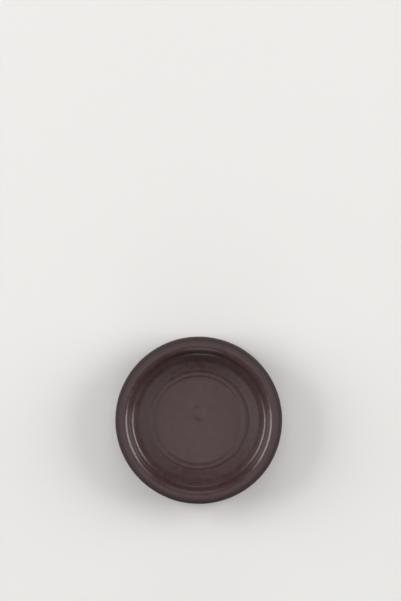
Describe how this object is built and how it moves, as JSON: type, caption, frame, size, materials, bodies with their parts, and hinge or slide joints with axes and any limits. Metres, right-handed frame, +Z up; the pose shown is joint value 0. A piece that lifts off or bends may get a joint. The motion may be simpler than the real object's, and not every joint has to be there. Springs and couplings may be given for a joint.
{
  "type": "castor cup",
  "caption": "Round moulded rubber cup with a near-upright wall, a rounded rim and a ringed seat; it holds a furniture leg or castor and keeps it from marking or sliding on the floor.",
  "frame": {"origin": "centre of the underside, on the surface that the cup stands on", "axes": "+Z up along the cup's axis, out of its mouth; +Y towards the gate mark on the seat; +X to the right of it, seen from above"},
  "size_m": [0.0398, 0.0398, 0.009],
  "materials": {
    "brown_rubber": "satin moulded"
  },
  "bodies": {
    "root": {"castor_cup": "brown_rubber"}
  },
  "joints": []
}
